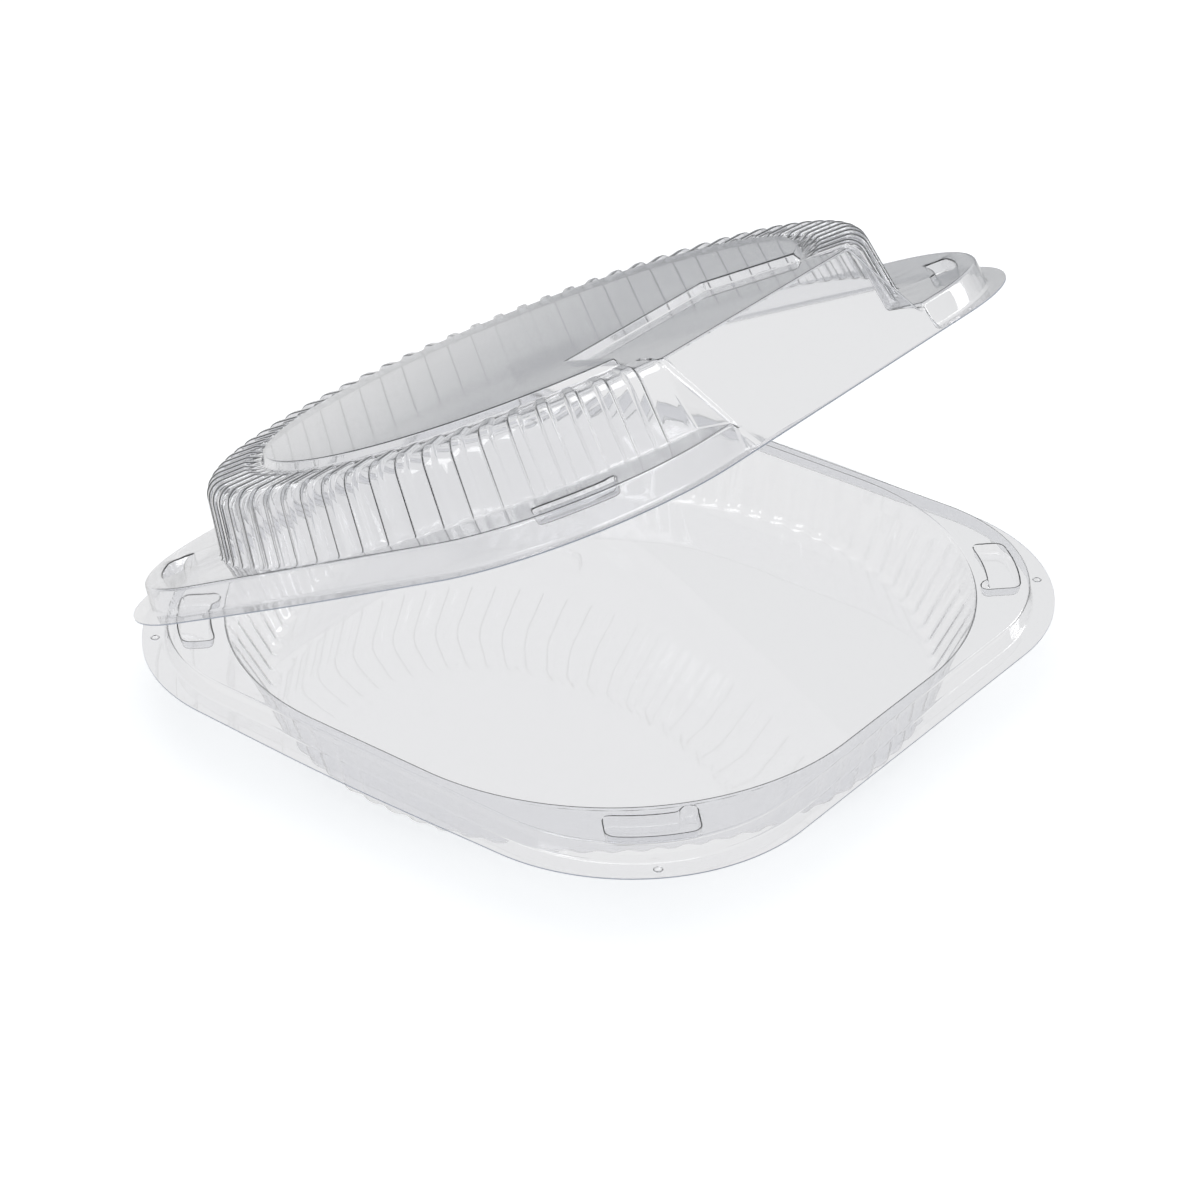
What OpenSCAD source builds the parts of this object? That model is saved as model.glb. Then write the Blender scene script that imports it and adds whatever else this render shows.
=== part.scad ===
// Hinged clear clamshell pack for a round tart, thermoformed from one sheet.
// A square tray with a round tub is joined by a live hinge to a ribbed dome lid.
// Millimetres, +Z up, origin at the centre of the underside of the tub floor.
// The front of the pack, with the flat panel of the lid, faces -Y.

/* [Pack] */
// side of the square flange, from straight edge to straight edge
side = 290; // [270:1:320]
// radius of the rounded flange corners
corner_r = 74; // [60:1:84]
// thickness of the formed sheet
sheet_t = 0.5; // [0.4:0.05:0.7]
// how far the left and right flange edges swell outward at mid side
side_bow = 2.5; // [0:0.5:4]
// ribs round the lid, and flutes round the tub
rib_count = 76; // [60:4:84]

/* [Base] */
// height of the flange top over the table
flange_z = 23.5; // [18:0.5:34]
// width of the flat flange at mid side
flange_w = 7.6; // [6:0.2:10]
// radius of the corners of the raised plateau
plateau_r = 68; // [56:1:74]
// height of the plateau over the flange
step_h = 7.5; // [6:0.5:8.5]
// inward draft of the step wall over its height
step_draft = 1.2; // [0.6:0.1:2]
// width of the plateau beside the tub at mid side
plateau_w = 4.2; // [3:0.2:6]
// radius of the corners of the tub mouth
mouth_r = 102; // [90:1:110]
// how far the tub narrows from its mouth to its foot at mid side
foot_in = 5; // [3:0.5:12]
// height at which the flutes stand out most
flute_z = 5; // [4:0.5:8]
// how far below the plateau the flutes have faded
flute_fade = 8; // [5:0.5:12]
// height of the rolled lip of the tub mouth
lip_h = 1.6; // [1:0.1:2.5]
// how far the flutes of the tub stand out
flute_h = 1.5; // [0.6:0.1:2.2]
// radius of the small dimple in each flange corner
dimple_r = 1.3; // [1:0.1:2]
// distance of the dimple from the flange edge
dimple_in = 5; // [4:0.1:5.6]
// depth of the dimple
dimple_d = 0.8; // [0.4:0.1:1.2]

/* [Lid] */
// height of the lid skirt, from its flange to its ledge
skirt_h = 10; // [9:0.5:13]
// height of the top of the dome over the lid flange
dome_h = 36; // [30:1:46]
// width of the ledge outside the foot of the dome at mid side
ledge_w = 4.3; // [3.6:0.1:8]
// inward draft of the dome wall from bottom to shoulder
dome_draft = 3.4; // [2:0.2:6]
// radius of the rounded shoulder
shoulder_r = 7; // [4:0.5:9]
// how far the ribs stand out
rib_h = 1.5; // [0.8:0.1:2]
// half width of a rib as a share of the pitch
rib_share = 0.27; // [0.2:0.01:0.34]
// distance of the raised disc inside the foot of the dome
disc_in = 27.4; // [24:0.2:34]
// height of the raised disc over the top land
disc_h = 3; // [2:0.2:5]
// distance of the notch in the disc from the centre
notch_y = 56; // [48:1:64]
// half width of the notch at its inner edge
notch_in = 38.5; // [32:0.5:42]
// half width of the notch at the edge of the disc
notch_out = 52; // [48:0.5:56]
// distance of the top edge of the flat front panel inside the foot of the dome
panel_in = 17.4; // [15:0.2:19]
// half width of the flat front panel
panel_x = 55; // [52:0.5:59]

/* [Snap pockets] */
// distance of each pocket from the corner of the tub mouth
pocket_off = 10; // [9.6:0.1:10.6]
// length of the pocket in the base
pocket_l = 33; // [28:1:36]
// width of the pocket in the base
pocket_w = 12; // [11:0.2:13]
// depth of the pocket in the base
pocket_d = 4; // [3:0.2:5]
// radius of the round eye on the inner side of the pocket, at one end
eye_r = 3.1; // [2.6:0.1:3.6]
// room left round the lid pocket inside the base pocket
pocket_gap = 1.3; // [1:0.1:1.6]
// depth of the pocket in the lid
plug_d = 4.6; // [3.6:0.2:5]

/* [Hinge] */
// angle that the lid stands open in the photo
open_angle = 27; // [0:1:120]
// distance of each end of the live hinge from the rounded flange corner
hinge_in = 6; // [3:0.5:20]
// radius of the folded web of the hinge
web_r = 0.45; // [0.3:0.05:0.5]
// gap between the two flanges when the pack is shut
shut_gap = 0.3; // [0.2:0.05:0.5]
// room between the web and the edge of each flange
web_gap = 0.05; // [0.03:0.01:0.1]

/* [Hidden] */
half = side / 2;
plateau_z = flange_z + step_h;
step_a = half - flange_w;
plateau_a = step_a - step_draft;
mouth_a = plateau_a - plateau_w;
foot_r = mouth_a - foot_in;
step_corner = plateau_r + step_draft;
// the axis of the live hinge runs along the back, midway between the flanges
axis_y = half + web_r + web_gap;
axis_z = flange_z + shut_gap / 2;
// the lid is drawn shut with its flange top at this height, then swung open
lid_z = flange_z + shut_gap + sheet_t;
skirt_room = 1;
// the front panel starts just above the plateau that it closes over
foot_z = plateau_z - lid_z + 0.6;
skirt_a = step_a + skirt_room + sheet_t;
ledge_a = plateau_a + skirt_room + sheet_t;
skirt_corner = step_corner + skirt_room + sheet_t;
ledge_corner = plateau_r + skirt_room + sheet_t;
dome_r = ledge_a - ledge_w;
wall_r = dome_r - dome_draft;
disc_r = dome_r - disc_in;
panel_y = dome_r - panel_in;
pitch = 360 / rib_count;
// columns of the lid grid, counted from the front: the last one on the flat
// panel, and the last one inside the notch
nose = 3 * round(atan(panel_x / panel_y) / pitch - 0.5);
notch_col = nose + 3;
hinge_l = side - 2 * corner_r - 2 * hinge_in;
sheet_colour = [0.86, 0.91, 0.94, 0.35];

// distance from the centre to a rounded square, along direction a
function rounded(h, r, a) =
    let (c = abs(cos(a)), s = abs(sin(a)), k = h - r, b = k * (c + s))
    min(c, s) * h <= k * max(c, s) ? h / max(c, s)
        : b + sqrt(b * b - 2 * k * k + r * r);
function bow(a) = side_bow * pow(max(0, cos(2 * a)), 2);
function mix(a, b, f) = a + (b - a) * f;

// Both shells are grids of rings round the centre. Each ring has its own step:
// a smooth ring keeps only some of the columns that a ribbed ring needs.
function starts(steps, n) =
    [for (k = 0, o = 0; k < len(steps); o = o + (k == 0 ? 1 : n / steps[k]), k = k + 1) o];
function at(starts, steps, n, k, c) = k == 0 ? 0 : starts[k] + (c % n) / steps[k];
// triangles of the band between ring k and the next ring, seen from above
function band(st, steps, n, k) =
    let (a = steps[k], b = steps[k + 1], s = max(a, b))
    k == 0 ? [for (c = [0:b:n - 1]) [0, at(st, steps, n, 1, c + b), at(st, steps, n, 1, c)]]
    : [for (c = [0:s:n - 1]) each a >= b ? concat(
            [[at(st, steps, n, k, c), at(st, steps, n, k + 1, c + b), at(st, steps, n, k + 1, c)],
            [at(st, steps, n, k, c), at(st, steps, n, k, c + s), at(st, steps, n, k + 1, c + b)]],
            a == b ? [] : [for (i = [b:b:s - 1])
            [at(st, steps, n, k, c + s), at(st, steps, n, k + 1, c + i + b), at(st, steps, n, k + 1, c + i)]])
        : concat(
            [[at(st, steps, n, k, c), at(st, steps, n, k, c + a), at(st, steps, n, k + 1, c)],
            [at(st, steps, n, k, c + a), at(st, steps, n, k + 1, c + s), at(st, steps, n, k + 1, c)]],
            [for (i = [a:a:s - 1])
            [at(st, steps, n, k, c + i), at(st, steps, n, k, c + i + a), at(st, steps, n, k + 1, c + s)]])];
// closed sheet from the points of its upper and lower faces
module sheet(upper, lower, steps, n) {
    st = starts(steps, n);
    m = len(steps) - 1;
    size = len(upper);
    top = [for (k = [0:m - 1]) each band(st, steps, n, k)];
    under = [for (f = top) [f[2] + size, f[1] + size, f[0] + size]];
    s = steps[m];
    rim = [for (c = [0:s:n - 1])
        let (p = at(st, steps, n, m, c), q = at(st, steps, n, m, c + s))
        each [[p, q, q + size], [p, q + size, p + size]]];
    polyhedron(points = concat(upper, lower), faces = concat(top, under, rim), convexity = 12);
}

// Base: radius, height and the offset of the lower face for ring k and column c
base_steps = [0, 2, 1, 1, 1, 2, 2, 2, 2, 2];
function base_wall(a, z) = mix(foot_r, rounded(mouth_a, mouth_r, a) - 1, (z - flute_z) / (plateau_z - lip_h - flute_z));
function base_ring(k, a, f) =
    k == 0 ? [0, sheet_t, 0, -1]
    : k == 1 ? [foot_r - 5, sheet_t, 0, -1]
    : k == 2 ? [foot_r - lip_h + f * flute_h * 0.6, lip_h + sheet_t, 0.7, -0.7]
    : k == 3 ? [foot_r + f * flute_h, flute_z, 1, 0]
    : k == 4 ? [base_wall(a, plateau_z - flute_fade) + f * flute_h * 0.4, plateau_z - flute_fade, 1, 0]
    : k == 5 ? [rounded(mouth_a, mouth_r, a) - 1, plateau_z - lip_h, 1, -0.2]
    : k == 6 ? [rounded(mouth_a, mouth_r, a), plateau_z, 0.7, -1]
    : k == 7 ? [rounded(plateau_a, plateau_r, a), plateau_z, -1, -1]
    : k == 8 ? [rounded(step_a, step_corner, a), flange_z, -1, -1]
    : [rounded(half, corner_r, a) + bow(a), flange_z, 0, -1];
function base_points(low) = [for (k = [0:len(base_steps) - 1])
    for (c = [0:max(1, base_steps[k]):(k == 0 ? 0 : 2 * rib_count - 1)])
    let (a = c * 180 / rib_count, p = base_ring(k, a, c % 2), r = p[0] + low * sheet_t * p[2])
    [r * cos(a), r * sin(a), p[1] + low * sheet_t * p[3]]];

// Lid: the same for the lid shut, with z measured from its flange top.
// Every third column is the crest of a rib, and q counts them from the front,
// the same on both sides.
lid_steps = [0, 3, 3, 3, 3, 3, 1, 1, 1, 1, 1, 1, 1, 3];
columns = 3 * rib_count;
function left(c) = c > columns / 2 - 2 && c < columns - 1;
function count(c) = c == columns - 1 ? -1 : left(c) ? columns - 3 - c : c;
function column_angle(q) =
    let (m = floor(q / 3), f = q - 3 * m)
    (m + 0.5 + (f == 0 ? 0 : f == 1 ? rib_share : 1 - rib_share)) * pitch;
// the inner rings lean their columns so that two of them run down the notch sides
function lean(q, near, far) =
    let (t = column_angle(q), a = column_angle(notch_col), b = column_angle(notch_col + 3))
    q <= notch_col ? near * t / a : mix(far, 180, (t - b) / (180 - b));
notch_hi = atan(notch_in / notch_y);
notch_lo = asin(notch_out / disc_r);
// distance of the skirt, and of the front panel, from the centre at height z
function skirt(z) = mix(skirt_a, ledge_a, z / skirt_h);
function panel(z) = mix(skirt(foot_z), panel_y, (z - foot_z) / (dome_h - foot_z));
// point of the front panel, as an angle from the front and a radius
function on_panel(q, x, y) =
    let (t = atan(x * column_angle(q) / column_angle(nose) / y)) [t, y / cos(t)];
// the column beside the panel starts the dome wall, at the foot of the nose side
function beside(q, t, r) = q == nose + 1 ? min(t, asin((panel_x + 1.5) / r)) : t;
function lid_ring(k, q) =
    let (in_notch = q <= notch_col, in_nose = q <= nose, t = column_angle(q),
        rib = (q % 3 == 0 && q > nose ? rib_h : 0), a = t - 90, top = dome_h + disc_h,
        s = shoulder_r, t1 = lean(q, notch_hi, notch_hi + 1.2), t2 = lean(q, notch_hi - 1.4, notch_hi + 0.6),
        t3 = lean(q, notch_lo - 0.9, notch_lo + 0.4), corner = notch_y / cos(notch_hi))
    k == 0 ? [0, 0, top, 0, -1]
    : k == 1 ? [t1, in_notch ? notch_y / cos(t1) : corner, top, 0, -1]
    : k == 2 ? (in_notch ? [t2, (notch_y + 1.8) / cos(t2), dome_h, -0.5, -1] : [t2, corner + 2.5, top, 0, -1])
    : k == 3 ? [t3, disc_r, in_notch ? dome_h : top, in_notch ? 0 : -0.5, -1]
    : k == 4 ? [t3, disc_r + 2, dome_h, in_notch ? 0 : -0.5, -1]
    : k == 5 ? [t, disc_r + 4.5, dome_h, 0, -1]
    : in_nose ? nose_ring(k, q, a)
    : k == 6 ? [t, disc_r + 8, dome_h + rib * 0.8, 0, -1]
    : k == 7 ? [beside(q, t, wall_r - s), wall_r - s, dome_h + rib, 0, -1]
    : k == 8 ? [beside(q, t, wall_r), wall_r - s * 0.293 + rib * 0.7, dome_h - s * 0.293 + rib * 0.7, -0.7, -0.7]
    : k == 9 ? [beside(q, t, wall_r), wall_r + rib, dome_h - s, -1, 0]
    : k == 10 ? [beside(q, t, dome_r), dome_r + rib, skirt_h, -1, -1]
    : k == 11 ? let (u = beside(q, t, ledge_a))
        [u, rounded(ledge_a, ledge_corner, u - 90), skirt_h, -1, -1]
    : k == 12 ? let (u = beside(q, t, skirt_a))
        [u, rounded(skirt_a, skirt_corner, u - 90), 0, -1, -1]
    : [t, rounded(half, corner_r, a) + bow(a), 0, 0, -1];
function nose_ring(k, q, a) =
    let (s = shoulder_r,
        d = k == 6 ? [(disc_r + 8) / panel_y, dome_h, 0, -1]
        : k == 7 ? [(panel_y - 1) / panel_y, dome_h, 0, -1]
        : k == 8 ? [0, dome_h - 1.2, -0.7, -0.8]
        : k == 9 ? [0, dome_h - s, -0.85, -0.5]
        : k == 10 ? [0, skirt_h, -0.85, -0.5]
        : k == 11 ? [0, foot_z, -0.85, -0.5]
        : [0, 0, k == 12 ? -0.5 : 0, -1],
        y = d[0] > 0 ? d[0] * panel_y : k < 13 ? panel(d[1]) : half,
        p = on_panel(q, panel_x, y))
    [p[0], p[1], d[1], d[2], d[3]];
// the lower face of the nose sides is moved sideways, to keep the sheet thickness
function tuck(k, q) = k >= 8 && k <= 12 && (q == nose || q == nose + 1) ? -0.2 : 0;
function lid_points(low) = [for (k = [0:len(lid_steps) - 1])
    for (c = [0:max(1, lid_steps[k]):(k == 0 ? 0 : columns - 1)])
    let (q = count(c), p = lid_ring(k, q), r = p[1] + low * sheet_t * p[3],
        a = (left(c) ? -1 : 1) * (p[0] + low * tuck(k, q)) - 90)
    [r * cos(a), r * sin(a), lid_z + p[2] + low * sheet_t * p[4]]];

// long pocket with rounded ends, and a round eye on its inner side; the eyes of
// the front pair lie towards the front, and those of the back pair towards the back
corners = [[45, 1], [135, -1], [225, 1], [315, -1]];
pocket_at = rounded(mouth_a, mouth_r, 45) + pocket_off;
module pocket(corner, l, w, eye, grow, top, depth) {
    taper = 0.6;
    at_end = corner[1] * (pocket_l / 2 - eye_r);
    rotate(corner[0]) translate([pocket_at, 0, 0]) {
        hull() for (x = [-1, 1], y = [-1, 1]) {
            translate([x * (w / 2 - 3), y * (l / 2 - 3), top - 0.01])
                cylinder(r = 3 + grow, h = 0.01, $fn = 16);
            translate([x * (w / 2 - 3), y * (l / 2 - 3), top - depth])
                cylinder(r = 3 + grow - taper, h = 0.01, $fn = 16);
        }
        translate([-pocket_w / 2, at_end, top - depth])
            cylinder(r1 = eye + grow - 0.3, r2 = eye + grow, h = depth, $fn = 20);
    }
}

module dimple(grow, depth) {
    for (a = [45:90:315])
        rotate(a) translate([rounded(half, corner_r, 45) - dimple_in, 0, flange_z - depth])
            cylinder(r1 = dimple_r * 0.7 + grow, r2 = dimple_r + grow, h = depth - (grow > 0 ? 0.1 : -0.01), $fn = 12);
}

module base() {
    color(sheet_colour) difference() {
        union() {
            sheet(base_points(0), base_points(1), base_steps, 2 * rib_count);
            for (a = corners)
                pocket(a, pocket_l, pocket_w, eye_r, sheet_t, plateau_z - 0.1, pocket_d + sheet_t - 0.1);
            dimple(sheet_t, dimple_d + sheet_t);
        }
        for (a = corners)
            pocket(a, pocket_l, pocket_w, eye_r, 0, plateau_z + 0.01, pocket_d + 0.01);
        dimple(0, dimple_d);
    }
}

module lid_shut() {
    l = pocket_l - 2 * pocket_gap;
    w = pocket_w - 2 * pocket_gap;
    ledge = lid_z + skirt_h;
    difference() {
        union() {
            sheet(lid_points(0), lid_points(1), lid_steps, columns);
            for (a = corners)
                pocket(a, l, w, eye_r - pocket_gap, 0, ledge - 0.1, plug_d + sheet_t - 0.1);
        }
        for (a = corners)
            pocket(a, l, w, eye_r - pocket_gap, -sheet_t, ledge + 0.01, plug_d + 0.01);
    }
}

module lid() {
    color(sheet_colour)
        translate([0, axis_y, axis_z]) rotate([-open_angle, 0, 0]) translate([0, -axis_y, -axis_z])
            lid_shut();
}

// the folded web between the two flanges
module live_hinge() {
    color(sheet_colour)
        translate([-hinge_l / 2, axis_y, axis_z]) rotate([0, 90, 0])
            cylinder(r = web_r, h = hinge_l, $fn = 48);
}

base();
lid();
live_hinge();
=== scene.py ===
import math

import bmesh
import bpy
import numpy as np
from mathutils import Matrix, Vector


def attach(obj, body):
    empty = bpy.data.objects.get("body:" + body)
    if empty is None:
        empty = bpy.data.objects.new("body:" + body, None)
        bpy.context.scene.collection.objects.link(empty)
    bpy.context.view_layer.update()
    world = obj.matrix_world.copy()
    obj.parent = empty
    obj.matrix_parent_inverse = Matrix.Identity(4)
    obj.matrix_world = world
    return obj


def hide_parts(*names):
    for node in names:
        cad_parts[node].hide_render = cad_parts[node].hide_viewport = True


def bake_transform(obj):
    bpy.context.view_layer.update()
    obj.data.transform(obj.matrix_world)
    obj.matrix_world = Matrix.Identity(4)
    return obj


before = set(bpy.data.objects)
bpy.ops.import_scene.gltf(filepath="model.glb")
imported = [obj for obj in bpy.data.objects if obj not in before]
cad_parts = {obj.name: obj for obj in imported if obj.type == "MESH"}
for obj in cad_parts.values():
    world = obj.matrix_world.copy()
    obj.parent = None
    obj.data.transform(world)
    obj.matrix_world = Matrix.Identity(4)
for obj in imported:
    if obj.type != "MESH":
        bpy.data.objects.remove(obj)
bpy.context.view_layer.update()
print("frame loaded:", ", ".join(sorted(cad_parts)))

# the camera stands where the photograph was taken from
camera = {
    "azimuth": -51.22,  # degrees round from the front, towards the left
    "elevation": 30.96,
    "roll": -0.48,
    "distance": 1.238,
    "target": (0.0, 0.0, 0.040),
    "lens": 97.95,
    "sensor": 36.0,
    "shift": (-0.0011, -0.0244),
}


def addCamera(c):
    a, e, r = (math.radians(c[k]) for k in ("azimuth", "elevation", "roll"))
    away = Vector((math.sin(a) * math.cos(e), -math.cos(a) * math.cos(e), math.sin(e)))
    right = (-away).cross(Vector((0, 0, 1))).normalized()
    up = right.cross(-away)
    right, up = right * math.cos(r) + up * math.sin(r), up * math.cos(r) - right * math.sin(r)
    data = bpy.data.cameras.new("photoCamera")
    data.lens, data.sensor_width = c["lens"], c["sensor"]
    data.shift_x, data.shift_y = c["shift"]
    data.clip_start, data.clip_end = 0.01, 50
    obj = bpy.data.objects.new("photoCamera", data)
    turn = Matrix((right, up, away)).transposed().to_4x4()
    obj.matrix_world = Matrix.Translation(Vector(c["target"]) + away * c["distance"]) @ turn
    bpy.context.scene.collection.objects.link(obj)
    bpy.context.scene.camera = obj


addCamera(camera)
print("camera placed")

# every mesh below is drawn in millimetres, as the top face of the formed sheet
sheetThickness = 0.5
crispFrom = 60  # degrees, an edge that turns more than this stays crisp


def mix(a, b, f):
    return a + (b - a) * f


def smooth(f):
    f = np.clip(f, 0, 1)
    return f * f * (3 - 2 * f)


# distance from the centre to a rounded square, by the angle from +X
def roundedSquare(half, radius, angle):
    c, s = np.abs(np.cos(angle)), np.abs(np.sin(angle))
    k = half - radius
    b = k * (c + s)
    corner = b + np.sqrt(np.maximum(b * b - 2 * k * k + radius * radius, 0))
    onSide = np.minimum(c, s) * half <= k * np.maximum(c, s)
    return np.where(onSide, half / np.maximum(c, s), corner)


# the left and right flange edges swell a little at mid side
flangeBow = 2.5


def sideBow(angle):
    return flangeBow * np.maximum(0, np.cos(2 * angle)) ** 2


# least length that an arc takes from the flats beside it, and its largest share
# of the shorter one
arcReach = {"least": 0.2, "share": 0.46}


# keys holds one polyline per column, as columns x corners x 3. Every corner
# becomes an arc, and every straight piece gets a few points of its own.
def filletProfile(keys, radii, arcs, flats):
    last = keys.shape[1] - 1
    rows, end = [keys[:, 0]], keys[:, 0]
    for k in range(1, last):
        corner = keys[:, k]
        back, ahead = keys[:, k - 1] - corner, keys[:, k + 1] - corner
        backLength = np.linalg.norm(back, axis=1, keepdims=True) + 1e-9
        aheadLength = np.linalg.norm(ahead, axis=1, keepdims=True) + 1e-9
        back, ahead = back / backLength, ahead / aheadLength
        turn = np.arccos(np.clip(-(back * ahead).sum(1, keepdims=True), -0.9999, 0.9999))
        reach = np.maximum(np.reshape(radii[k], (-1, 1)) * np.tan(turn / 2), arcReach["least"])
        reach = np.minimum(reach, arcReach["share"] * np.minimum(backLength, aheadLength))
        start = corner + back * reach
        for step in range(flats[k - 1]):
            rows.append(mix(end, start, (step + 1) / (flats[k - 1] + 1)))
        end = corner + ahead * reach
        weight = np.cos(turn / 2)
        for f in np.linspace(0, 1, arcs[k] + 1):
            a, b, c = (1 - f) ** 2, 2 * f * (1 - f) * weight, f * f
            rows.append((a * start + b * corner + c * end) / (a + b + c))
    for step in range(flats[last - 1]):
        rows.append(mix(end, keys[:, last], (step + 1) / (flats[last - 1] + 1)))
    rows.append(keys[:, last])
    return np.stack(rows, 1)


def gridMesh(points):
    mesh = bmesh.new()
    columns, rows = points.shape[:2]
    verts = [[mesh.verts.new(points[c, r]) for r in range(rows)] for c in range(columns)]
    centre = mesh.verts.new((0, 0, points[0, 0, 2]))
    for c in range(columns):
        d = (c + 1) % columns
        mesh.faces.new((centre, verts[c][0], verts[d][0]))
        for r in range(rows - 1):
            mesh.faces.new((verts[c][r], verts[c][r + 1], verts[d][r + 1], verts[d][r]))
    return mesh


# how the outline of a slot is found: rays from inside it, and how softly the
# round eye runs into it
slotRays = {"rays": 360, "from": 34.0, "steps": 1400, "start": (-2.0, 9.0), "blend": 0.8}


# outline of a rounded slot with a round eye on its inner long side, grown by a
# number of millimetres, as points evenly spaced round it
def slotOutline(shape, eyeSide, grow, count=88):
    s = slotRays
    eyeX, eyeY = shape["eyeAt"][0], shape["eyeAt"][1] * eyeSide
    startX, startY = (s["start"][0], s["start"][1] * eyeSide) if shape["eye"] > 0 else (0, 0)
    angle = np.linspace(0, 2 * math.pi, s["rays"] + 1)[:-1, None]
    far = np.linspace(s["from"], 0, s["steps"])[None, :]
    x, y = startX + far * np.cos(angle), startY + far * np.sin(angle)
    qx = np.abs(x) - shape["width"] / 2 + shape["corner"]
    qy = np.abs(y) - shape["length"] / 2 + shape["corner"]
    outside = np.hypot(np.maximum(qx, 0), np.maximum(qy, 0))
    slot = outside + np.minimum(np.maximum(qx, qy), 0) - shape["corner"]
    if shape["eye"] > 0:
        eye = np.hypot(x - eyeX, y - eyeY) - shape["eye"]
        h = np.clip(0.5 + 0.5 * (eye - slot) / s["blend"], 0, 1)
        slot = mix(eye, slot, h) - s["blend"] * h * (1 - h)
    hit = np.argmax(slot <= grow, axis=1)
    ray = np.arange(s["rays"])
    ring = np.stack([x[ray, hit], y[ray, hit]], 1)
    ring = (ring + np.roll(ring, 1, 0) + np.roll(ring, -1, 0)) / 3
    closed = np.vstack([ring, ring[:1]])
    lengths = np.linalg.norm(np.diff(closed, axis=0), axis=1)
    along = np.concatenate([[0], np.cumsum(lengths)])
    where = np.linspace(0, along[-1], count + 1)[:-1]
    return np.stack([np.interp(where, along, closed[:, k]) for k in (0, 1)], 1)


# cuts the flat faces round one recess out of the sheet and sets the recess in.
# room is half of what is cut out, along the diagonal and across it.
def setRecess(mesh, shape, angle, eyeSide, level):
    c, s = math.cos(math.radians(angle)), math.sin(math.radians(angle))
    at, room = shape["at"], shape["room"]
    cut = []
    for face in mesh.faces:
        p = face.calc_center_median()
        if all(abs(v.co.z - level) < 1e-4 for v in face.verts):
            along, across = p.x * c + p.y * s - at, -p.x * s + p.y * c
            if abs(across) < room[1] and abs(along) < room[0]:
                cut.append(face)
    inside = set(cut)
    edge = [e for e in mesh.edges if len({f in inside for f in e.link_faces}) == 2]
    bmesh.ops.delete(mesh, geom=cut, context="FACES")
    rows = []
    lip, foot, depth = shape["lip"], shape["foot"], shape["depth"]
    for f in np.linspace(0, math.pi / 2, 4):
        rows.append((lip * (1 - math.sin(f)), lip * (1 - math.cos(f))))
    rows.append((-shape["taper"] * 0.5, depth / 2))
    for f in np.linspace(0, math.pi / 2, 5):
        rows.append((-shape["taper"] - foot * (1 - math.cos(f)), depth - foot * (1 - math.sin(f))))
    rings = []
    for grow, down in rows:
        if shape["length"] > 0:
            outline = slotOutline(shape, eyeSide, grow)
        else:  # a recess without length is round
            turn = np.linspace(0, 2 * math.pi, 29)[:-1]
            outline = np.stack([np.cos(turn), np.sin(turn)], 1) * (shape["width"] / 2 + grow)
        outline[:, 0] += at - outline[:, 1] ** 2 * shape["bend"]
        rings.append([mesh.verts.new((x * c - y * s, x * s + y * c, level - down)) for x, y in outline])
    for outer, inner in zip(rings, rings[1:]):
        for k in range(len(outer)):
            n = (k + 1) % len(outer)
            mesh.faces.new((outer[k], outer[n], inner[n], inner[k]))
    mesh.faces.new(rings[-1])
    lipEdges = [mesh.edges.get((rings[0][k], rings[0][k - 1])) for k in range(len(rings[0]))]
    bmesh.ops.triangle_fill(mesh, use_beauty=True, use_dissolve=False, edges=edge + lipEdges,
                            normal=(0, 0, 1))


# turns the drawn top face into a piece of sheet that hangs below it
def addSheet(name, mesh, material, edgeMaterial, place=Matrix()):
    bmesh.ops.transform(mesh, matrix=place @ Matrix.Scale(0.001, 4), verts=mesh.verts)
    bmesh.ops.recalc_face_normals(mesh, faces=mesh.faces)
    top = max(mesh.faces, key=lambda f: f.calc_area())
    if top.normal.z < 0:
        bmesh.ops.reverse_faces(mesh, faces=mesh.faces)
    for face in mesh.faces:
        face.smooth = True
    data = bpy.data.meshes.new(name)
    mesh.to_mesh(data)
    mesh.free()
    data.materials.append(material)
    data.materials.append(edgeMaterial)
    obj = bpy.data.objects.new(name, data)
    bpy.context.scene.collection.objects.link(obj)
    solid = obj.modifiers.new("sheetThickness", "SOLIDIFY")
    solid.thickness, solid.offset = sheetThickness * 0.001, -1
    solid.use_even_offset = False
    solid.use_quality_normals = True
    solid.material_offset_rim = 1
    crisp = obj.modifiers.new("crispRim", "EDGE_SPLIT")
    crisp.split_angle = math.radians(crispFrom)
    flat = obj.modifiers.new("flatFaces", "WEIGHTED_NORMAL")
    flat.keep_sharp = False
    return obj


# sRGB hex colour as the linear values that Blender works in
def linear(hexColour, alpha=1.0):
    values = [int(hexColour[k:k + 2], 16) / 255 for k in (1, 3, 5)]
    return tuple(v / 12.92 if v <= 0.04045 else ((v + 0.055) / 1.055) ** 2.4 for v in values) + (alpha,)


def addNode(tree, kind, settings=None, inputs=None, links=None):
    node = tree.nodes.new(kind)
    for key, value in (settings or {}).items():
        setattr(node, key, value)
    for key, value in (inputs or {}).items():
        node.inputs[key].default_value = value
    for key, source in (links or {}).items():
        tree.links.new(source, node.inputs[key])
    return node


def newMaterial(name):
    material = bpy.data.materials.new(name)
    material.use_nodes = True
    material.node_tree.nodes.clear()
    return material, material.node_tree


def perMetre(millimetres):
    return 1000.0 / millimetres


# Amorphous PET, vacuum formed over a male tool: clear and glossy, with a faint
# cool cast that deepens along the sheet, and the slow waves that stretching leaves.
petSheet = {
    "surface": "#FDFDFE",
    "ior": 1.57,
    "roughness": 0.03,
    "clear": 1.0,
    "cast": "#C3C5C8",  # what is left of white light along the sheet
    "density": 270.0,  # per metre
    "lampPass": "#FAFAFA",  # what one face lets through to the floor
    "waveSize": 16.0,  # mm
    "waveHeight": 0.02,
    "waveDetail": 2.0,
    "waveRoughness": 0.35,
}


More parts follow.
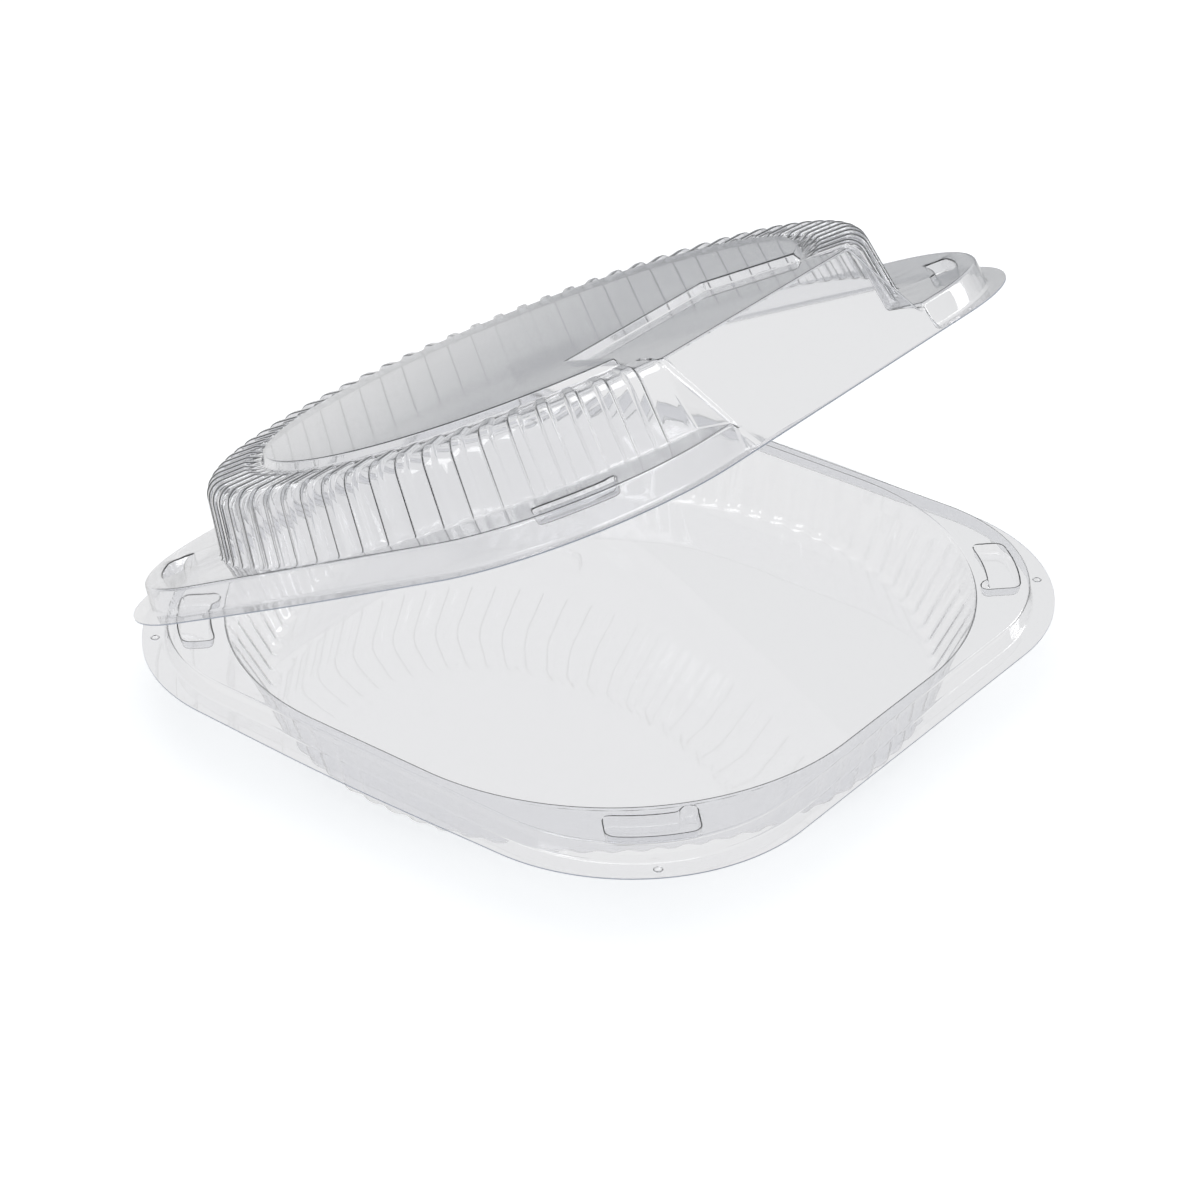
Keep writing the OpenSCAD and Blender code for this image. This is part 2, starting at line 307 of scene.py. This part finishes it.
def makePetSheet(name, s):
    material, tree = newMaterial(name)
    place = addNode(tree, "ShaderNodeTexCoord")
    wave = addNode(tree, "ShaderNodeTexNoise", {"noise_dimensions": "3D"},
                   {"Scale": perMetre(s["waveSize"]), "Detail": s["waveDetail"],
                    "Roughness": s["waveRoughness"]}, {"Vector": place.outputs["Object"]})
    waves = addNode(tree, "ShaderNodeBump", None,
                    {"Strength": 1.0, "Distance": s["waveHeight"] * 0.001}, {"Height": wave.outputs["Fac"]})
    plastic = addNode(tree, "ShaderNodeBsdfPrincipled", None, {
        "Base Color": linear(s["surface"]), "Roughness": s["roughness"], "IOR": s["ior"],
        "Transmission Weight": s["clear"], "Metallic": 0.0}, {"Normal": waves.outputs["Normal"]})
    through = addNode(tree, "ShaderNodeBsdfTransparent", None, {"Color": linear(s["lampPass"])})
    path = addNode(tree, "ShaderNodeLightPath")
    soft = addNode(tree, "ShaderNodeMath", {"operation": "MAXIMUM"}, None,
                   {0: path.outputs["Is Shadow Ray"], 1: path.outputs["Is Diffuse Ray"]})
    shader = addNode(tree, "ShaderNodeMixShader", None, None, {
        0: soft.outputs["Value"], 1: plastic.outputs["BSDF"], 2: through.outputs["BSDF"]})
    cast = addNode(tree, "ShaderNodeVolumeAbsorption", None,
                   {"Color": linear(s["cast"]), "Density": s["density"]})
    addNode(tree, "ShaderNodeOutputMaterial", None, None,
            {"Surface": shader.outputs["Shader"], "Volume": cast.outputs["Volume"]})
    return material


clearSheet = makePetSheet("clearPetSheet", petSheet)
# the die-cut edge is finely torn, so it scatters the light that runs along the sheet; its blue-grey colour
# is painted shade, standing in for the dark line that the sheet's edge shows
roughEdgePaintedShade = {**petSheet, "surface": "#C9CEDA", "roughness": 0.4, "clear": 0.3}
cutEdge = makePetSheet("petCutEdge", roughEdgePaintedShade)
print("materials ready")

# the base: a tub in a square tray, from its floor out to its flange. A pair is
# half the width of a rounded square and the radius of its corners.
base = {
    "flat": 20.0,  # the mesh starts as a flat disc of this radius
    "floor": 0.5, "footRadius": 126.3,
    "flutes": 76, "fluteFoot": 1.3, "fluteTop": 0.7, "fluteEnd": 23.0,
    "wallFoot": (0.5, 5.0), "wallIn": 1.0, "wallRise": 24.4,
    "mouth": (132.0, 105.0), "throat": (1.05, 2.0), "lipIn": 0.3,
    "plateauTop": 31.0, "plateau": (136.2, 68.0), "step": (137.4, 69.2),
    "flangeTop": 23.5, "flange": (145.0, 74.0),
    "columnsInFlute": (-0.5, -0.38, -0.25, -0.12, 0.0, 0.12, 0.25, 0.38),
    # radius and steps of the fold at each ring, and rows on the flat after it
    "folds": (0, 4.0, 2.0, 1.0, 0.8, 1.0, 1.0, 0), "arcs": (0, 6, 2, 2, 3, 4, 4, 0),
    "flats": (2, 5, 1, 0, 2, 2, 5),
}
# every recess is at a distance from the middle, on the diagonal
basePocket = {
    "length": 33.0, "width": 12.0, "corner": 3.0, "eye": 3.2, "eyeAt": (-5.6, 13.4), "depth": 4.0,
    "taper": 0.5, "lip": 0.5, "foot": 0.8, "bend": 0.007, "at": 154.4, "room": (14, 21),
}
baseDimple = {
    "length": 0.0, "width": 2.6, "eye": 0.0, "depth": 0.8,
    "taper": 0.3, "lip": 0.25, "foot": 0.3, "bend": 0.0, "at": 169.4, "room": (3.0, 3.4),
}
# angle of each pocket from +X, and the end its eye is at
pocketCorners = ((45, 1), (135, -1), (225, 1), (315, -1))


def makeBase(b):
    pitch = 2 * math.pi / b["flutes"]
    share = np.tile(np.array(b["columnsInFlute"]), b["flutes"])
    flute = np.repeat(np.arange(b["flutes"]), len(b["columnsInFlute"]))
    angle = (flute + 0.5 + share) * pitch
    bulge = 0.5 + 0.5 * np.cos(2 * math.pi * share)

    def ring(radius, z):
        radius = radius + np.zeros_like(angle)
        return np.stack([radius * np.cos(angle), radius * np.sin(angle), np.full_like(angle, z)], 1)

    mouth = roundedSquare(*b["mouth"], angle)
    wall = mix(b["footRadius"] + b["wallFoot"][0], mouth - b["wallIn"],
               (b["fluteEnd"] - b["wallFoot"][1]) / b["wallRise"])
    keys = np.stack([
        ring(b["flat"], b["floor"]),
        ring(b["footRadius"] + bulge * b["fluteFoot"], b["floor"]),
        ring(wall + bulge * b["fluteTop"], b["fluteEnd"]),
        ring(mouth - b["throat"][0], b["plateauTop"] - b["throat"][1]),
        ring(mouth - b["lipIn"], b["plateauTop"]),
        ring(roundedSquare(*b["plateau"], angle), b["plateauTop"]),
        ring(roundedSquare(*b["step"], angle), b["flangeTop"]),
        ring(roundedSquare(*b["flange"], angle) + sideBow(angle), b["flangeTop"]),
    ], 1)
    return gridMesh(filletProfile(keys, b["folds"], b["arcs"], b["flats"]))


tub = makeBase(base)
for corner, eyeSide in pocketCorners:
    setRecess(tub, basePocket, corner, eyeSide, base["plateauTop"])
    setRecess(tub, baseDimple, corner, 1, base["flangeTop"])
tubPiece = addSheet("clearTray", tub, clearSheet, cutEdge)
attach(tubPiece, "tray")
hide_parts("base")
print("tray formed")

# the lid, drawn shut and then swung open about the live hinge. Angles are
# degrees round from the middle of the front, heights are from its flange.
lid = {
    "flat": 20.0, "flangeTop": 24.3, "skirt": 10.0, "ledgeDrop": 2.7, "dome": 36.0, "disc": 39.0,
    "flange": (145.0, 74.0), "skirtFoot": (138.9, 70.7), "ledge": (137.7, 69.5),
    "domeFoot": 133.4, "shoulderCorner": 128.75, "shoulderRadius": 7.0,
    # ribs: how many fit all round, the first one beside the nose, half width as a
    # share of the pitch, and where they start and run out on the top
    "ribs": 76, "firstRib": 6, "ribHeight": 1.5, "ribShare": 0.27,
    "ribStart": 110.5, "ribRunOut": 2.5, "ribFull": 114.5,
    "discRadius": 106.0, "discFoot": 108.0, "cornerIn": 2.5,
    "notch": 56.0, "notchInner": 38.5, "notchOuter": 52.0, "notchSlope": 1.8,
    # degrees that the inner, sloped and outer edge of the notch's side lean
    "leanInner": (0, 1.2), "leanSlope": (-1.4, 0.6), "leanOuter": (-0.9, 0.4),
    # columns over the half width of the panel, and the shares between its side and the first rib
    "panelColumns": np.append(np.linspace(0, 0.92, 14), 1), "besideNose": (0.3, 0.6, 0.8),
    "panelX": 55.0, "panelTop": 116.0, "panelFoot": 143.6, "panelStart": 114.0,
    "sideX": 56.5, "sideStart": 26.1, "panelFillet": 4.5,
    "noseFold": 2.6, "noseFoldOuter": 1.6,
    "hinge": (145.5, 23.65), "open": 27.0,
    # place across a rib as a share of its half width, and height there as a share of its height
    "ribProfile": ((-1.08, 0), (-0.94, 0.09), (-0.7, 0.83), (-0.45, 1),
                   (0.45, 1), (0.7, 0.83), (0.94, 0.09), (1.08, 0)),
    "arcs": (0, 3, 3, 3, 3, 1, 2, 8, 4, 4, 4, 0), "flats": (1, 0, 3, 0, 0, 0, 2, 4, 1, 2, 1),
}
lidPocket = {
    "length": 29.4, "width": 8.4, "corner": 2.5, "eye": 1.3, "eyeAt": (-4.7, 12.9), "depth": 4.6,
    "taper": 0.5, "lip": 0.5, "foot": 0.8, "bend": 0.007, "at": 154.4, "room": (13, 19),
}


def lidColumns(p):
    pitch = 360 / p["ribs"]
    nose = (p["firstRib"] - 0.5) * pitch
    side = nose + p["ribShare"] * pitch
    first = (p["firstRib"] + 0.5 + p["ribProfile"][0][0] * p["ribShare"]) * pitch
    columns = [(nose * g, g, 0) for g in p["panelColumns"]] + [(side, 2, 0)]
    columns += [(mix(side, first, h), 2, 0) for h in p["besideNose"]]
    for rib in range(p["firstRib"], p["ribs"] // 2):
        for f, height in p["ribProfile"]:
            columns.append(((rib + 0.5 + f * p["ribShare"]) * pitch, 2, height))
        columns.append(((rib + 1) * pitch, 2, 0))
    columns = [c for c in columns if c[0] < 179.9] + [(180.0, 2, 0)]
    return np.array(columns), side, first


def makeLid(p):
    columns, side, first = lidColumns(p)
    angle, g, rib = columns.T  # g is the share of the half width of the front panel, or 2 beside it
    corner = int(np.argmax(g == 1))
    panel = g <= 1
    # the side of the notch lies between the crests of the first two ribs
    pitch = 360 / p["ribs"]
    crest = (p["firstRib"] + 0.5) * pitch
    crestNext = crest + pitch
    wall = np.clip((angle - crest) / pitch, 0, 1)

    def polar(a, r, z):
        a = np.radians(a)
        return np.stack([r * np.sin(a), -r * np.cos(a), z + np.zeros_like(a)], 1)

    # columns inside the notch lean one way and those outside it the other
    def lean(at, by):
        near, far = at + by[0], at + by[1]
        outside = mix(far, 180, (angle - crestNext) / (180 - crestNext))
        beyond = np.where(angle >= crestNext, outside, mix(near, far, wall))
        return np.where(angle <= crest, near * angle / crest, beyond)

    # one ring outside the disc: flat panel, then the dome from the side of the nose on
    def outer(panelY, panelZ, sideAngle, radius, z, lift=0.0, push=0.0):
        besideAngle = mix(sideAngle, first, (angle - side) / (first - side))
        domeAngle = np.where(angle < first, besideAngle, angle)
        reach = radius(domeAngle) if callable(radius) else radius
        onPanel = np.stack([p["panelX"] * g, np.full_like(g, -panelY), np.full_like(g, panelZ)], 1)
        return np.where(panel[:, None], onPanel, polar(domeAngle, reach + push * rib, z + lift * rib))

    def square(size):
        return lambda a: roundedSquare(size[0], size[1], np.radians(a - 90))

    def flangeEdge(a):
        return roundedSquare(*p["flange"], np.radians(a - 90)) + sideBow(np.radians(a - 90))

    def atSide(radius):
        return math.degrees(math.asin(p["sideX"] / radius))

    def atEdge(distance):
        return math.degrees(math.atan(p["sideX"] / distance))

    def panelY(z):
        return mix(p["panelFoot"], p["panelTop"], z / p["dome"])

    high = math.degrees(math.atan(p["notchInner"] / p["notch"]))
    low = math.degrees(math.asin(p["notchOuter"] / p["discRadius"]))
    cornerRadius = p["notch"] / math.cos(math.radians(high))
    climb = smooth((wall - 0.1) / 0.8) * (p["disc"] - p["dome"])
    a1, a2, a3 = lean(high, p["leanInner"]), lean(high, p["leanSlope"]), lean(low, p["leanOuter"])
    inNotch = angle <= crest
    slopeFoot = p["notch"] + p["notchSlope"]
    r1 = np.where(inNotch, p["notch"] / np.cos(np.radians(a1)), cornerRadius)
    slopeCorner = slopeFoot / math.cos(math.radians(high + p["leanSlope"][0]))
    besideNotch = mix(slopeCorner, cornerRadius + p["cornerIn"], wall)
    r2 = np.where(inNotch, slopeFoot / np.cos(np.radians(a2)), besideNotch)
    # the ends of the ribs on the top are round in plan
    ribAngle = np.degrees(np.arccos(np.clip(rib, 0, 1))) / 90
    start = p["ribStart"] + p["ribRunOut"] * (1 - np.sqrt(1 - ribAngle ** 2)) * (rib > 0)
    ledgeFoot = p["skirt"] - p["ledgeDrop"]
    keys = np.stack([
        polar(a1, p["flat"], p["disc"]),
        polar(a1, r1, p["disc"]),
        polar(a2, r2, p["dome"] + climb),
        polar(a3, p["discRadius"], p["dome"] + climb),
        polar(a3, p["discFoot"], p["dome"]),
        polar(angle, start, p["dome"]),
        outer(p["panelStart"], p["dome"], p["sideStart"], p["ribFull"], p["dome"], p["ribHeight"]),
        outer(p["panelTop"], p["dome"], atSide(p["shoulderCorner"]), p["shoulderCorner"], p["dome"],
              p["ribHeight"], p["ribHeight"]),
        outer(panelY(p["skirt"]), p["skirt"], atSide(p["domeFoot"]), p["domeFoot"], p["skirt"],
              0, p["ribHeight"]),
        outer(panelY(ledgeFoot), ledgeFoot, atEdge(p["ledge"][0]), square(p["ledge"]), p["skirt"]),
        outer(p["panelFoot"], 0, atEdge(p["skirtFoot"][0]), square(p["skirtFoot"]), 0),
        outer(p["flange"][0], 0, atEdge(p["flange"][0]), flangeEdge, 0),
    ], 1)
    shoulder = np.where(panel, p["panelFillet"], p["shoulderRadius"])
    # radius of the fold at each ring
    radii = (0, 0.9, 0.9, 0.9, 0.9, 3.0, 3.0, shoulder, 1.2, 1.5, 1.2, 0)
    points = filletProfile(keys, radii, p["arcs"], p["flats"])
    # round the two folds down each side of the nose
    across = points[corner - 1:corner + 3].transpose(1, 0, 2)
    folds = filletProfile(across, (0, p["noseFold"], p["noseFoldOuter"], 0), (0, 7, 4, 0), (1, 3, 1))
    points = np.concatenate([points[:corner - 1], folds.transpose(1, 0, 2), points[corner + 3:]])
    left = points[-2:0:-1] * np.array([-1, 1, 1])
    points = np.concatenate([points, left])
    points[:, :, 2] += p["flangeTop"]
    return gridMesh(points)


dome = makeLid(lid)
for corner, eyeSide in pocketCorners:
    setRecess(dome, lidPocket, corner, eyeSide, lid["flangeTop"] + lid["skirt"])
hingeLine = Vector((0, *lid["hinge"])) * 0.001
opened = Matrix.Rotation(math.radians(-lid["open"]), 4, "X")
swing = Matrix.Translation(hingeLine) @ opened @ Matrix.Translation(-hingeLine)
lidPiece = addSheet("clearLid", dome, clearSheet, cutEdge, swing)
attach(lidPiece, "cover")
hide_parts("lid")
print("lid formed")

# the folded web that joins the two flanges along the back
web = {"radius": 0.40, "thickness": 0.16, "length": 130.0, "wrap": 140, "steps": 14, "sections": 26}


def makeWeb(w):
    y, z = lid["hinge"]
    mesh = bmesh.new()
    turns = np.radians(np.linspace(-w["wrap"], w["wrap"] - lid["open"], w["steps"]))
    outer, inner = w["radius"] + w["thickness"] / 2, w["radius"] - w["thickness"] / 2
    outline = [(outer * math.cos(a), outer * math.sin(a)) for a in turns]
    outline += [(inner * math.cos(a), inner * math.sin(a)) for a in turns[::-1]]
    rings = []
    for x in np.linspace(-w["length"] / 2, w["length"] / 2, w["sections"]):
        rings.append([mesh.verts.new((x, y + q[0], z + q[1])) for q in outline])
    for a, b in zip(rings, rings[1:]):
        for k in range(len(outline)):
            n = (k + 1) % len(outline)
            mesh.faces.new((a[k], a[n], b[n], b[k]))
    for ring in (rings[0], rings[-1]):
        for k in range(w["steps"] - 1):
            mesh.faces.new((ring[k], ring[k + 1], ring[-k - 2], ring[-k - 1]))
    bmesh.ops.recalc_face_normals(mesh, faces=mesh.faces)
    bmesh.ops.transform(mesh, matrix=Matrix.Scale(0.001, 4), verts=mesh.verts)
    for face in mesh.faces:
        face.smooth = True
    data = bpy.data.meshes.new("hingeWeb")
    mesh.to_mesh(data)
    mesh.free()
    data.materials.append(clearSheet)
    obj = bpy.data.objects.new("hingeWeb", data)
    bpy.context.scene.collection.objects.link(obj)
    return obj


webPiece = makeWeb(web)
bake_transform(webPiece)
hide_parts("live_hinge")
print("hinge web folded")

# white paper floor in a pale studio. Reflections show it running into grey away
# from the pack, and the room is darkest round the horizon. Lengths in metres.
studio = {
    "floorRadius": 12.0, "floorDrop": 0.0003,
    "near": "#F4F4F4", "far": "#AEB0B3", "whiteTo": 0.3, "greyFrom": 0.75,
    # glow of the floor to the camera, the share of it seen through the sheet, and
    # the glow that a reflection shows
    "floorGlow": 0.27, "glowBehind": 0.48, "mirrorGlow": 0.98,
    "horizon": "#A4A7AA", "horizonTo": 0.15, "ceiling": "#CDD0D3", "ceilingFrom": 0.6,
    "backdrop": "#F0F1F3",  # what the sheet shows of the room behind it
}


def makeFloor(s):
    material, tree = newMaterial("whitePaper")
    place = addNode(tree, "ShaderNodeNewGeometry")
    path = addNode(tree, "ShaderNodeLightPath")
    away = addNode(tree, "ShaderNodeVectorMath", {"operation": "LENGTH"}, None,
                   {0: place.outputs["Position"]})
    fade = addNode(tree, "ShaderNodeMapRange", {"interpolation_type": "SMOOTHSTEP"},
                   {"From Min": s["whiteTo"], "From Max": s["greyFrom"]}, {"Value": away.outputs["Value"]})
    mirrored = addNode(tree, "ShaderNodeMath", {"operation": "MULTIPLY"}, None,
                       {0: fade.outputs["Result"], 1: path.outputs["Is Glossy Ray"]})
    colour = addNode(tree, "ShaderNodeMix", {"data_type": "RGBA"},
                     {6: linear(s["near"]), 7: linear(s["far"])}, {0: mirrored.outputs["Value"]})
    paper = addNode(tree, "ShaderNodeBsdfDiffuse", None, {"Roughness": 0.0}, {"Color": colour.outputs[2]})
    seen = addNode(tree, "ShaderNodeMath", {"operation": "MULTIPLY_ADD"}, {1: s["glowBehind"]},
                   {0: path.outputs["Is Transmission Ray"], 2: path.outputs["Is Camera Ray"]})
    level = addNode(tree, "ShaderNodeMath", {"operation": "MULTIPLY"}, {1: s["floorGlow"]},
                    {0: seen.outputs["Value"]})
    glow = addNode(tree, "ShaderNodeEmission", None, None,
                   {"Color": colour.outputs[2], "Strength": level.outputs["Value"]})
    both = addNode(tree, "ShaderNodeAddShader", None, None,
                   {0: paper.outputs["BSDF"], 1: glow.outputs["Emission"]})
    # a reflection shows the floor as an even glow, which is quicker to render
    mirror = addNode(tree, "ShaderNodeEmission", None, {"Strength": s["mirrorGlow"]},
                     {"Color": colour.outputs[2]})
    shader = addNode(tree, "ShaderNodeMixShader", None, None, {
        0: path.outputs["Is Glossy Ray"], 1: both.outputs["Shader"], 2: mirror.outputs["Emission"]})
    addNode(tree, "ShaderNodeOutputMaterial", None, None, {"Surface": shader.outputs["Shader"]})
    mesh = bmesh.new()
    bmesh.ops.create_circle(mesh, cap_ends=True, radius=s["floorRadius"], segments=96)
    data = bpy.data.meshes.new("paperFloor")
    mesh.to_mesh(data)
    mesh.free()
    data.materials.append(material)
    floor = bpy.data.objects.new("paperFloor", data)
    floor.location.z = -s["floorDrop"]
    bpy.context.scene.collection.objects.link(floor)


def makeRoom(s):
    world = bpy.data.worlds.new("studioRoom")
    bpy.context.scene.world = world
    world.use_nodes = True
    tree = world.node_tree
    tree.nodes.clear()
    place = addNode(tree, "ShaderNodeTexCoord")
    height = addNode(tree, "ShaderNodeSeparateXYZ", None, None, {0: place.outputs["Generated"]})
    rise = addNode(tree, "ShaderNodeMapRange", {"interpolation_type": "SMOOTHSTEP"},
                   {"From Min": s["horizonTo"], "From Max": s["ceilingFrom"]},
                   {"Value": height.outputs["Z"]})
    colour = addNode(tree, "ShaderNodeMix", {"data_type": "RGBA"},
                     {6: linear(s["horizon"]), 7: linear(s["ceiling"])}, {0: rise.outputs["Result"]})
    path = addNode(tree, "ShaderNodeLightPath")
    seen = addNode(tree, "ShaderNodeMix", {"data_type": "RGBA"}, {7: linear(s["backdrop"])},
                   {0: path.outputs["Is Transmission Ray"], 6: colour.outputs[2]})
    back = addNode(tree, "ShaderNodeBackground", None, {"Strength": 1.0}, {"Color": seen.outputs[2]})
    addNode(tree, "ShaderNodeOutputWorld", None, None, {"Surface": back.outputs["Background"]})


# soft boxes: name, place, aim, width, height, watts
softBoxes = (
    ("overheadBox", (0.2, 0.3, 2.2), (0.0, 0.0, 0.0), 1.3, 1.3, 14),
    ("leftBox", (-1.7, 0.1, 1.1), (0.0, 0.0, 0.05), 0.6, 1.2, 6),
    ("rightBox", (1.55, -0.75, 0.6), (0.0, 0.0, 0.1), 0.35, 1.1, 5),
)


def addSoftBox(name, place, aim, width, height, watts):
    data = bpy.data.lights.new(name, "AREA")
    data.shape, data.size, data.size_y, data.energy = "RECTANGLE", width, height, watts
    obj = bpy.data.objects.new(name, data)
    obj.location = place
    obj.rotation_euler = (Vector(aim) - Vector(place)).to_track_quat("-Z", "Y").to_euler()
    bpy.context.scene.collection.objects.link(obj)


makeFloor(studio)
makeRoom(studio)
for box in softBoxes:
    addSoftBox(*box)
bpy.context.scene.view_settings.view_transform = "Standard"
print("studio set")
